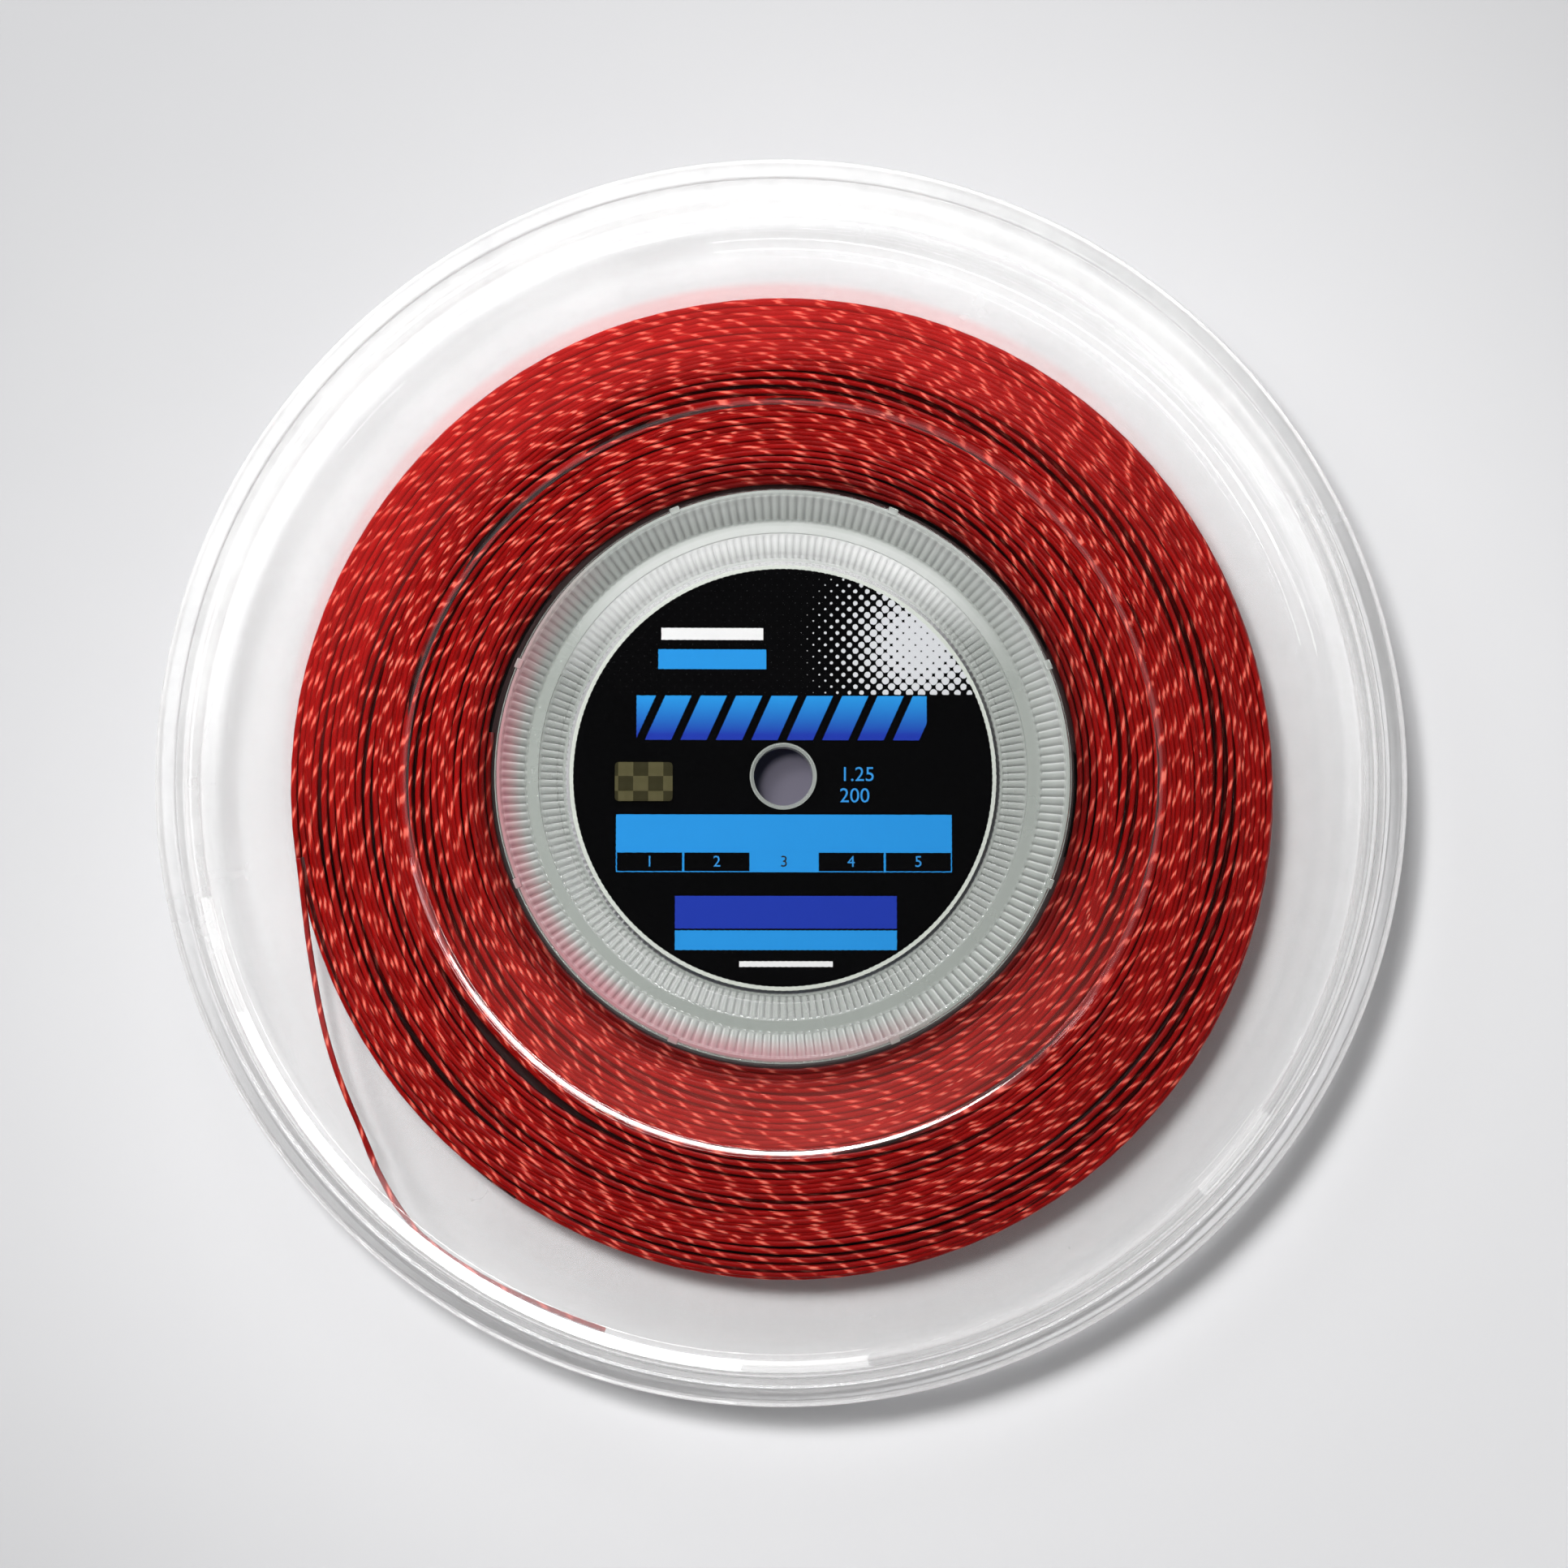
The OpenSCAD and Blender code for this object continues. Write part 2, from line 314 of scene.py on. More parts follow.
def piece(name, bm, finish, slot, *nodes, crease=None):
    """Makes a bmesh an object that rides on the reel and stands for these nodes."""
    mesh = bpy.data.meshes.new(name)
    bm.to_mesh(mesh)
    bm.free()
    mesh.materials.append(finish)
    mesh.shade_smooth()
    if crease:
        mesh.set_sharp_from_angle(angle=math.radians(crease))
    made = bpy.data.objects.new(name, mesh)
    scene.collection.objects.link(made)
    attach(made, "root")
    if nodes:
        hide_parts(*nodes)
    print(name, "has", len(mesh.polygons), "faces")
    return made


def unit_rows(rows):
    return rows / np.linalg.norm(rows, axis=1)[:, None]


def read_rows(items, what, width):
    rows = np.empty(len(items) * width)
    items.foreach_get(what, rows)
    return rows.reshape(-1, width)


def strand(line, radius=STRING_R, sides=8):
    """A closed tube along an array of points, with metres along and turns around in its UV map."""
    last = len(line) - 1
    heading = unit_rows(np.gradient(line, axis=0))
    across = unit_rows(np.cross(heading, UP))
    over = np.cross(across, heading)
    travelled = np.concatenate(([0.0], np.cumsum(np.linalg.norm(np.diff(line, axis=0), axis=1))))
    bm = bmesh.new()
    bm.loops.layers.uv.new("UVMap")
    bmesh.ops.create_grid(bm, x_segments=last, y_segments=sides, size=0.5, calc_uvs=True)
    ribbon = bpy.data.meshes.new("ribbon")
    bm.to_mesh(ribbon)
    flat = read_rows(ribbon.vertices, "co", 3)
    ring = np.rint((flat[:, 0] + 0.5) * last).astype(int)
    turn = 2 * math.pi * (flat[:, 1, None] + 0.5)
    rolled = line[ring] + radius * (np.cos(turn) * across[ring] + np.sin(turn) * over[ring])
    ribbon.vertices.foreach_set("co", rolled.ravel())
    uvs = read_rows(ribbon.uv_layers[0].data, "uv", 2)
    uvs[:, 0] = travelled[np.rint(uvs[:, 0] * last).astype(int)]
    ribbon.uv_layers[0].data.foreach_set("uv", uvs.ravel())
    bm.clear()
    bm.from_mesh(ribbon)
    bpy.data.meshes.remove(ribbon)
    bmesh.ops.remove_doubles(bm, verts=bm.verts, dist=radius / 50)
    bmesh.ops.holes_fill(bm, edges=[edge for edge in bm.edges if edge.is_boundary], sides=0)
    bmesh.ops.recalc_face_normals(bm, faces=bm.faces)
    return bm


print("string radius", STRING_R)

# %% [markdown]
# ## The loose end
#
# The free end leaves the winding at the left, crosses the channel and springs out until it lies along
# the foot of the flange's slope. Its route is a list of given points, the same as in the model, with a
# smooth curve through them.

# %% String tail
TAIL_ROUTE = [
    (-0.1028, -0.0181, 0.0201), (-0.1023, -0.0216, 0.0201), (-0.1017, -0.0265, 0.0201),
    (-0.1011, -0.0310, 0.0201), (-0.1005, -0.0355, 0.0201), (-0.0994, -0.0420, 0.0201),
    (-0.0981, -0.0490, 0.0201), (-0.0964, -0.0560, 0.0201), (-0.0943, -0.0626, 0.0201),
    (-0.0922, -0.0680, 0.0201), (-0.0898, -0.0736, 0.0202), (-0.0875, -0.0790, 0.0204),
    (-0.0851, -0.0842, 0.0207), (-0.0817, -0.0900, 0.0211), (-0.0775, -0.0955, 0.0215),
    (-0.0747, -0.0982, 0.0216), (-0.0710, -0.1010, 0.0216), (-0.0665, -0.1039, 0.0216),
    (-0.0605, -0.1073, 0.0215), (-0.0546, -0.1101, 0.0215), (-0.0507, -0.1118, 0.0214),
    (-0.0467, -0.1134, 0.0214), (-0.0420, -0.1152, 0.0214), (-0.0374, -0.1169, 0.0214),
]
TAIL_STEPS = 4


def smooth_route(points, steps):
    """Points on a Catmull-Rom curve through a list of points."""
    p = np.array([points[0], *points, points[-1]])
    made = []
    for i in range(1, len(p) - 2):
        for t in np.arange(steps) / steps:
            a, b, c, d = p[i - 1 : i + 3]
            bend = t * t * (2 * a - 5 * b + 4 * c - d) + t**3 * (3 * b - a - 3 * c + d)
            made.append(b + (t * (c - a) + bend) / 2)
    return np.array([*made, p[-1]])


tail_line = smooth_route(TAIL_ROUTE, TAIL_STEPS)
tail = piece("loose_string_end", strand(tail_line, sides=12), RED_STRING, "red_string", "string_tail")

# %% [markdown]
# ## The wound string
#
# From the front we see one side of the winding: some 36 turns side by side, like the groove of a
# record. Real turns never lie quite true. They wander in radius, leave narrow dark gaps, and dive under
# one another. So each side is one unbroken spiral whose radius is a steady growth plus a few slow
# waves. The waves' rates are close to whole numbers per turn, which keeps a turn nearly parallel to its
# neighbour, as on a real winding. Where two neighbours come closer than their own thickness, one of
# them goes under the other. Here and there a wider gap has opened between two turns, so the list of
# partings pushes the turns to both sides of a place away.

# %% How a turn wanders
RINGS = 96
SIDE_TURNS = 36
FIRST_R = DRUM_R + STRING_R + 0.1 * MM
SAG = 1.8 * MM
SWELL = 0.5 * MM
TAIL_ANGLE = math.atan2(TAIL_ROUTE[0][1], TAIL_ROUTE[0][0])
TAIL_R = math.hypot(*TAIL_ROUTE[0][:2])
STEP_R = 80.7 * MM
INNER_HALF = 6.9 * MM
OUTER_HALF = 8.1 * MM
LOWEST = 1.7 * MM
PARTING_FADE = 2.8
PARTINGS = [
    (222, 83.4, 0.85, 34), (222, 96.0, 0.35, 34), (188, 99.0, 0.2, 20), (164, 89.0, 0.2, 26),
    (118, 86.5, 0.2, 22), (78, 91.5, 0.3, 24), (84, 76.5, 0.2, 18), (33, 95.0, 0.35, 24),
    (38, 75.5, 0.3, 22), (352, 88.0, 0.25, 28), (312, 96.5, 0.25, 24), (286, 86.5, 0.25, 26),
]


def waves(turns, rates, sizes, seed):
    """A sum of slow waves along a winding, the same at each run."""
    starts = np.random.default_rng(seed).uniform(0, 2 * math.pi, len(rates))
    kinds = zip(rates, sizes, starts)
    return sum(size * np.sin(2 * math.pi * rate * turns + start) for rate, size, start in kinds)


def outline_r(angle):
    """The winding's own outline: it hangs a little to the bottom, and meets the loose end at its exit."""
    swell = SWELL * (0.5 - 0.5 * np.cos(angle - TAIL_ANGLE))
    return TAIL_R + swell - SAG * (np.sin(angle) - math.sin(TAIL_ANGLE))


def wall_half(radius):
    """Half the channel's width at a radius: it is wider past the flange's step."""
    share = np.clip((radius - STEP_R) / (1.2 * MM) + 0.5, 0, 1)
    return INNER_HALF + share * (OUTER_HALF - INNER_HALF)


def parted(radius, turns, angle, side):
    """Pushes turns apart at the partings, each (degrees, radius, half its width, reach in degrees)."""
    for middle, at, half, reach in PARTINGS:
        off = (side * np.degrees(angle) - middle + 180) % 360 - 180
        passing = np.rint(turns - off / 360)
        there = np.abs(off) <= 180 / RINGS
        beyond = passing - passing[there & (radius >= at * MM)].min() + 0.5
        push = half * MM * np.sign(beyond) * np.exp((0.5 - np.abs(beyond)) / PARTING_FADE)
        radius = radius + push * np.sin(np.clip(1 - np.abs(off) / reach, 0, 1) * math.pi / 2) ** 2
    return radius


def dives(radius, start):
    """How deep each point lies, so that a turn passes under or over its neighbour where they overlap."""
    under = start.copy()
    way = 1
    for i in range(RINGS, len(radius)):
        apart = abs(radius[i] - radius[i - RINGS])
        need = math.sqrt(max(0.0, (2 * STRING_R) ** 2 - apart**2))
        if abs(under[i] - under[i - RINGS]) >= need:
            continue
        if not 0 <= under[i - RINGS] + way * need <= LOWEST:
            way = -way
        under[i] = max(0.0, under[i - RINGS] + way * need)
    window = np.hanning(9)
    return np.convolve(np.pad(under, 4, mode="edge"), window / window.sum(), mode="valid")


def side_line(side, seed, shift, depth):
    """One unbroken spiral across a side of the winding, from the drum outwards."""
    turns = np.arange(SIDE_TURNS * RINGS + 1) / RINGS
    angle = 2 * math.pi * turns * side + seed
    share = (turns + shift) / (SIDE_TURNS + 0.5)
    calm = np.clip(np.minimum(share * 8, (1 - share) * 5 + 0.35), 0, 1)
    wander = waves(turns, (2.07, 3.12, 5.17, 8.23), (0.8 * MM, 0.5 * MM, 0.3 * MM, 0.14 * MM), seed)
    radius = FIRST_R + share * (outline_r(angle) - FIRST_R) + calm * wander
    radius = parted(radius, turns, angle, side)
    under = dives(radius, np.abs(waves(turns, (1.31, 2.77), (0.3 * MM, 0.2 * MM), seed + 50)))
    near_drum = np.clip(1 - share * 7, 0, 1) ** 2
    height = wall_half(radius) - STRING_R - 0.05 * MM - under - depth - near_drum * 1.1 * MM
    return np.column_stack((radius * np.cos(angle), radius * np.sin(angle), MID_Z + side * height))


print("turns", SIDE_TURNS, "on each side, from", round(FIRST_R, 4), "to", round(TAIL_R, 4))

# %% [markdown]
# Under the turns that show lies a second layer, which we see through the gaps and which has painted
# shade. Below that nothing shows, so one plain ring of dark red, painted near black as shade, fills the
# rest.

# %% Sides of the winding
UNDER_DEPTH = 1.1 * MM
for name, side, seed in (("front", 1, 3), ("rear", -1, 8)):
    piece(f"{name}_side_turns", strand(side_line(side, seed, 0.5, 0.0)), RED_STRING, "red_string")
    under = strand(side_line(side, seed + 20, 0.0, UNDER_DEPTH), sides=6)
    piece(f"{name}_under_turns", under, SHADED_STRING, "red_string")

# %% [markdown]
# The outermost layer runs round the winding's edge. It is a helix across the channel, with a second one
# below, and it ends where the loose end begins.

# %% Edge of the winding
EDGE_TURNS = 12


def edge_line(first_h, last_h, drop, seed):
    turns = np.arange(EDGE_TURNS * RINGS + 1) / RINGS
    angle = TAIL_ANGLE + 2 * math.pi * (turns - EDGE_TURNS)
    to_end = np.clip((EDGE_TURNS - turns) * 3, 0, 1)
    wander = waves(turns, (2.07, 3.2), (0.25 * MM, 0.15 * MM), seed) * to_end
    rise = first_h + (last_h - first_h) * turns / EDGE_TURNS
    rise = rise + waves(turns, (1.06, 4.1), (0.12 * MM, 0.1 * MM), seed + 9) * to_end
    radius = outline_r(angle) - drop + wander
    return np.column_stack((radius * np.cos(angle), radius * np.sin(angle), MID_Z + rise))


TAIL_H = TAIL_ROUTE[0][2] - MID_Z
edge = strand(edge_line(-7.4 * MM, TAIL_H, 0.0, 31))
piece("outer_turns", edge, RED_STRING, "red_string", "string_outer_turns")
# The helix below has the string with painted shade.
under_edge = strand(edge_line(7.0 * MM, -7.0 * MM, UNDER_DEPTH, 35), sides=6)
piece("outer_under_turns", under_edge, SHADED_STRING, "red_string")

# %% [markdown]
# ## Turned pieces
#
# Every moulding of the reel is round, so each is a section spun once round the axis. The section is a
# closed line of a few corners, each with its own rounding: bevelling a corner of a bare line rounds it
# before it is spun. Rounded creases matter here, because a clear part is seen almost only by the light
# in its creases.


# %% Spin a section
SPIN_STEPS = 256
CREASE = 30
HOLD = 0.15 * MM


def section_line(corners, side, segments):
    """A closed line from corners of (radius, height over the mid-plane, rounding), in millimetres."""
    bm = bmesh.new()
    verts = [bm.verts.new((r * MM, 0, MID_Z + side * h * MM)) for r, h, _ in corners]
    for a, b in zip(verts, verts[1:] + verts[:1]):
        bm.edges.new((a, b))
    for size in sorted({rounding for _, _, rounding in corners if rounding}):
        chosen = [v for v, corner in zip(verts, corners) if corner[2] == size]
        bmesh.ops.bevel(
            bm, geom=chosen, offset=size * MM, offset_type="OFFSET", segments=segments, profile=0.5,
            affect="VERTICES", clamp_overlap=True, material=-1,
        )
    for edge in [edge for edge in bm.edges if edge.calc_length() > 4 * HOLD]:
        for vert in edge.verts[:]:
            bmesh.utils.edge_split(edge, vert, HOLD / edge.calc_length())
    return bm


def spin(bm, angle, steps):
    bmesh.ops.spin(
        bm, geom=bm.verts[:] + bm.edges[:], cent=(0, 0, 0), axis=(0, 0, 1), angle=angle, steps=steps,
        use_merge=angle > 6, use_duplicate=False,
    )
    bmesh.ops.recalc_face_normals(bm, faces=bm.faces)
    return bm


def spun(corners, side=1, segments=4):
    return spin(section_line(corners, side, segments), 2 * math.pi, SPIN_STEPS)


print("a ring is spun in", SPIN_STEPS, "steps")

# %% [markdown]
# ## Clear plastic
#
# Glass in a path tracer bends the view but blocks lamps, so the string under a flange would go dark.
# The usual cure is used here: rays that carry light to a surface pass straight through a Transparent
# shader, and only the camera's and mirror rays meet the real glass. Only the rolled rims hold the lamps
# back, so that the reel still draws a shadow. A share of white haze is mixed in, and a larger share
# past a radius, because the outer zone of a flange is faintly frosted while the string under the inner
# zone stays crisp. Clear plastic also glows where it gathers light, and blushes where red string shines
# into it. That takes many bounces to come out by itself, so each bloom is a painted glow: a ring of
# colour that grows towards a bearing. On a fluted cone the haze has painted shade in the valleys, which
# are stripes of the angle round the axis, and the surface is frosted.


# %% Clear plastic
FLUTES = 200
RIM_R = 127 * MM
# The groove colour is painted shade for the valleys of the flutes.
GROOVE_SHADE = (0.05, 0.055, 0.05, 1)
GROOVE_SHADE_SHARE = 0.7
CONE_FROST = 0.22
Bloom = namedtuple("Bloom", "colour inner_r outer_r soft bearing start full share")


def flutes(finish, x, y, radius, cone):
    """Two masks: where the cone is, and where its valleys are."""
    lane = (y.maths("ARCTAN2", x) * (FLUTES / 2 / math.pi)).maths("FRACT")
    on_cone = radius.below(cone[1] * MM, 0.3 * MM) * (1 - radius.below(cone[0] * MM, 0.3 * MM))
    return on_cone, lane.far(0.5).below(0.2, 0.22) * on_cone


def clear_finish(name, tint, milk, haze, frost, rough, ripple, solid_rim=False, blooms=(), cone=None):
    """Clear plastic. Frost is its share, the radius that it starts at and the soft stretch there."""
    finish = new_finish(name)
    at, x, y, radius = finish.place()
    rings = finish.noise(finish.vector(radius), 900.0, 3.0)
    cloud = finish.noise(at, 38.0, 4.0, 0.6)
    frost_share, frost_from, frost_soft = frost
    outer = 1 - radius.below(frost_from, frost_soft)
    amount = (outer * (frost_share - haze) + haze) * cloud.between(0.6, 1.4)
    if cone:
        on_cone, valley = flutes(finish, x, y, radius, cone)
        # Painted shade: the haze goes towards dark grey in the flutes' valleys.
        milk = finish.mix(valley * GROOVE_SHADE_SHARE, milk, GROOVE_SHADE)
        rough = on_cone * CONE_FROST + rough
    glass = finish.principled(
        Base_Color=tint, Roughness=rough, IOR=1.57, Transmission_Weight=1.0,
        Normal=finish.bump(rings * 0.25 + cloud * ripple, 0.05 * MM),
    )
    surface = finish.blend(amount, glass, finish.principled(Base_Color=milk, Roughness=0.45))
    # Each bloom mixes in a painted glow over its ring.
    for bloom in blooms:
        b = math.radians(bloom.bearing)
        reach = x * math.cos(b) + y * math.sin(b)
        ramp = 1 - reach.below((bloom.start + bloom.full) / 2 * MM, (bloom.full - bloom.start) * MM)
        outside = 1 - radius.below(bloom.inner_r * MM, bloom.soft * MM)
        ring = radius.below(bloom.outer_r * MM, 1.5 * MM) * outside
        veil = finish.principled(Base_Color=bloom.colour, Roughness=0.6)
        surface = finish.blend(ring * ramp * cloud.between(0.4, 1.6) * bloom.share, surface, veil)
    shadow = finish.node("ShaderNodeLightPath", {}, {}, "Is Shadow Ray")
    lamps = shadow.maths("MAXIMUM", shadow.output("Is Diffuse Ray"))
    if solid_rim:
        lamps = lamps * radius.below(RIM_R, 1 * MM)
    through = finish.node("ShaderNodeBsdfTransparent", {}, {"Color": (0.95, 0.95, 0.95, 1)})
    return finish.use(finish.blend(lamps, surface, through))


print("a bloom is given by", ", ".join(Bloom._fields))

# %% [markdown]
# The flanges are neutral and the hub is faintly green. The blooms are painted glows: white ones on the
# flanges at the upper left, where the key comes from, and on the hub, and red ones where the winding's
# red would shine into the flanges and the collars. Radii and distances are in millimetres.

# %% The five clear finishes
NEUTRAL = (0.99, 0.99, 0.99, 1)
GREENISH = (0.93, 0.95, 0.93, 1)
MILK = (0.90, 0.90, 0.90, 1)
HUB_MILK = (0.275, 0.295, 0.275, 1)
RED_BLUSH = (0.90, 0.12, 0.10, 1)
DEEP_BLUSH = (0.90, 0.03, 0.025, 1)
WINE = (0.34, 0.13, 0.15, 1)
HUB_HAZE = {"haze": 0.5, "frost": (0.5, 0.2, 0.01), "rough": 0.06, "ripple": 0.3}

FRONT_CLEAR = clear_finish(
    "clear_front", NEUTRAL, MILK, haze=0.0, frost=(0.12, 0.121, 0.006), rough=0.012, ripple=0.2,
    solid_rim=True, blooms=(
        Bloom(RED_BLUSH, 66, 79.5, 6, bearing=275, start=20, full=85, share=0.10),
        Bloom(DEEP_BLUSH, 90, 106, 6, bearing=105, start=10, full=95, share=0.09),
        Bloom(MILK, 108, 140, 6, bearing=110, start=-30, full=110, share=0.12),
        Bloom(MILK, 121, 140, 6, bearing=110, start=-60, full=100, share=0.28),
    ),
)
REAR_CLEAR = clear_finish(
    "clear_rear", NEUTRAL, MILK, haze=0.02, frost=(0.24, 0.106, 0.006), rough=0.05, ripple=0.3,
    solid_rim=True,
)
COLLAR_CLEAR = clear_finish(
    "clear_collar", GREENISH, HUB_MILK, **HUB_HAZE, cone=(55.2, 60.2), blooms=(
        Bloom(WINE, 58.0, 61.5, 3, bearing=217, start=2, full=44, share=0.7),
        Bloom(MILK, 48, 54.5, 6, bearing=85, start=25, full=42, share=0.15),
        Bloom(MILK, 57, 60.8, 6, bearing=65, start=0, full=45, share=0.12),
    ),
)
HUB_CLEAR = clear_finish("clear_hub", GREENISH, HUB_MILK, **HUB_HAZE)
FLOOR_CLEAR = clear_finish(
    "clear_floor", NEUTRAL, HUB_MILK, haze=0.0, frost=(0.5, 0.0468, 0.0004), rough=0.01, ripple=0.1,
    cone=(47.4, 52.1), blooms=(Bloom(MILK, 48, 56, 6, bearing=95, start=25, full=42, share=0.40),),
)
print("made five clear finishes")

# %% [markdown]
# ## Flanges
#
# A flange starts flat over the drum, steps up once, and rises through a shallow terrace and a slope to
# a rolled rim with a lip on its back. The same section, turned over, makes the rear one.

# %% Both flanges
FLANGE_SECTION = [
    (61.2, 8.5, 0.15), (79.6, 8.5, 0.35), (80.9, 9.7, 0.3), (116.3, 9.7, 0.9), (118.0, 10.2, 0.6),
    (122.7, 10.6, 0.5), (125.9, 12.2, 0.4), (128.2, 12.2, 0.3), (128.3, 13.0, 0.5), (132.5, 13.0, 1.1),
    (132.5, 9.0, 1.3), (128.6, 9.0, 0.2), (128.6, 8.0, 0.6), (126.6, 8.0, 0.6), (126.6, 10.7, 0.3),
    (125.1, 10.7, 1.0), (122.0, 9.0, 1.0), (118.5, 8.7, 0.7), (116.8, 8.2, 0.7), (81.4, 8.2, 0.7),
    (80.1, 7.0, 0.7), (61.2, 7.0, 0.15),
]
for name, side, finish in (("front", 1, FRONT_CLEAR), ("rear", -1, REAR_CLEAR)):
    flange = spun(FLANGE_SECTION, side)
    piece(f"clear_{name}_flange", flange, finish, "flange_plastic", f"{name}_flange", crease=CREASE)

# %% [markdown]
# ## Fluted collars and cups
#
# The collar plugs into the drum and the cup closes the middle. Both have a cone with 200 fine flutes.
# Spinning the whole ring in a thousand steps would be slow, so one flute is made first: the section is
# spun over one 200th of a turn and its cone is pressed in by a wave of the angle. Then it is copied
# round, first 5 times, that five times again, and twice, twice and twice more, which makes 200 with
# only eleven copies.

# %% Flutes
FLUTE_STEPS = 5
FLUTE_DEPTH = 0.35
COPIES = (5, 5, 2, 2, 2)


def press_flute(bm, foot, top, side, toothed):
    """Presses one flute into the cone between two (radius, height) points, in millimetres."""
    run, rise = top[0] - foot[0], top[1] - foot[1]
    slant = math.hypot(run, rise)
    for vert in bm.verts:
        r = math.hypot(vert.co.x, vert.co.y) / MM - foot[0]
        h = (vert.co.z - MID_Z) * side / MM - foot[1]
        share = (r * run + h * rise) / slant**2
        if abs(h * run - r * rise) / slant > 0.01 or not -0.01 < share < 1.01:
            continue
        fade = min(1.0, (1 - share) * 9) * (1.0 if toothed else min(1.0, share * 9))
        turn = math.atan2(vert.co.y, vert.co.x) * FLUTES
        press = FLUTE_DEPTH * MM * max(0.0, fade) * (0.5 - 0.5 * math.cos(turn)) ** 1.5
        out = Vector((vert.co.x, vert.co.y, 0)).normalized()
        vert.co += press * (out * rise / slant - Vector((0, 0, side * run / slant)))


def copy_round(bm):
    """Copies one flute's width round the axis until it is a closed ring."""
    made = 1
    for copies in COPIES:
        first = bm.verts[:] + bm.edges[:] + bm.faces[:]
        for i in range(1, copies):
            geom = bmesh.ops.duplicate(bm, geom=first)["geom"]
            turn = Matrix.Rotation(2 * math.pi / FLUTES * made * i, 3, "Z")
            verts = [item for item in geom if isinstance(item, bmesh.types.BMVert)]
            bmesh.ops.rotate(bm, cent=(0, 0, 0), matrix=turn, verts=verts)
        made *= copies
    bmesh.ops.remove_doubles(bm, verts=bm.verts, dist=0.01 * MM)
    bmesh.ops.recalc_face_normals(bm, faces=bm.faces)


def fluted(corners, foot, top, side, toothed):
    bm = spin(section_line(corners, side, 2), 2 * math.pi / FLUTES, FLUTE_STEPS)
    press_flute(bm, foot, top, side, toothed)
    copy_round(bm)
    return bm


def cone(foot, top):
    """Corners down a cone, close enough to carry the ends of its flutes."""
    shares = (1, 0.96, 0.88, 0.66, 0.44, 0.22, 0.12, 0.04, 0)
    return [(foot[0] + s * (top[0] - foot[0]), foot[1] + s * (top[1] - foot[1]), 0) for s in shares]


print(FLUTES, "flutes in", sum(COPIES) - len(COPIES), "copies")

# %% Collars and cups
COLLAR_CONE = ((54.7, 4.9), (60.5, 8.5))
CUP_CONE = ((47.4, 1.7), (52.4, 3.9))
LUGS = 8
LUG_R, LUG_H = 61.1 * MM, 8.65 * MM
LUG_SIZE = (1.5 * MM, 2.2 * MM, 1.1 * MM)


def collar(side):
    bm = fluted([(61.1, 8.5, 0.12)] + cone(*COLLAR_CONE) + [
        (52.4, 4.9, 0.2), (52.4, 3.9, 0.15), (55.3, 3.9, 0.3), (58.8, 6.15, 0.3), (58.8, 3.2, 0.2),
        (60.1, 3.2, 0.2), (60.1, 7.0, 0), (61.1, 7.0, 0),
    ], *COLLAR_CONE, side, False)
    for i in range(LUGS):
        angle = 2 * math.pi * (i + 0.5) / LUGS
        spot = Matrix.Rotation(angle, 4, "Z") @ Matrix.Translation((LUG_R, 0, MID_Z + side * LUG_H))
        made = bmesh.ops.create_cube(bm, size=1, matrix=spot @ Matrix.Diagonal((*LUG_SIZE, 1)))
        edges = list({edge for vert in made["verts"] for edge in vert.link_edges})
        bmesh.ops.bevel(
            bm, geom=edges, offset=0.25 * MM, offset_type="OFFSET", segments=2, profile=0.5,
            affect="EDGES", material=-1,
        )
    return bm


def cup(side):
    return fluted([(55.0, 3.9, 0)] + cone(*CUP_CONE) + [
        (6.9, 1.7, 0.15), (6.9, 0.5, 0), (46.6, 0.5, 0), (46.6, 0.02, 0), (48.8, 0.02, 0.2),
        (48.8, 0.5, 0.3), (52.4, 2.6, 0.3), (55.0, 2.6, 0.2),
    ], *CUP_CONE, side, True)


for name, side in (("front", 1), ("rear", -1)):
    for kind, ring, finish in (("collar", collar(side), COLLAR_CLEAR), ("cup", cup(side), FLOOR_CLEAR)):
        piece(f"fluted_{name}_{kind}", ring, finish, "hub_plastic", f"{name}_{kind}", crease=CREASE)

# %% [markdown]
# The drum and the bush are plain tubes whose shape the frame already has, so they only get the finish.

# %% Drum and bush
for name in ("drum", "centre_bush"):
    node = frame["nodes"][name]
    node.data.materials.clear()
    node.data.materials.append(HUB_CLEAR)
    print(name, "is", HUB_CLEAR.name)

# %% [markdown]
# ## The label
#
# The label is a black printed disc with a bare white edge. Its print is generic: plain blue bars, a row
# of slats, a scale of five cells, and a patch of silver dots. Each printed shape is a mask from the
# label's own coordinates, so that its edge stays sharp at any size, and the bars can be given where
# they lie in millimetres. The dots are a halftone: a slanted grid in which every dot shrinks with its
# distance from a corner.

# %% Printed label
BLUE = (0.02, 0.24, 0.60, 1)
DEEP_BLUE = (0.014, 0.035, 0.32, 1)
SILVER = (0.55, 0.56, 0.58, 1)
WHITE = (0.70, 0.70, 0.70, 1)
CARD_EDGE = (0.52, 0.55, 0.50, 1)
BLACK_LOW, BLACK_HIGH = (0.0003, 0.0003, 0.0004, 1), (0.001, 0.001, 0.0013, 1)
PRINT_R = 45.15 * MM
PRINT_SOFT = 0.08 * MM
DOT_PITCH = 2.6 * MM
DOT_CORNER = (30 * MM, 29 * MM)
DOT_FOOT = 17.8 * MM
SCALE_AT = (0.2, -18.4)
SCALE_SIZE = (72.2, 4.4)
CELLS = 5
CELL_W = SCALE_SIZE[0] / CELLS


def box_mask(x, y, centre, size):
    """1 inside a rectangle given by its centre and size in millimetres."""
    wide = x.far(centre[0] * MM).below(size[0] / 2 * MM, PRINT_SOFT)
    high = y.far(centre[1] * MM).below(size[1] / 2 * MM, PRINT_SOFT)
    return wide * high


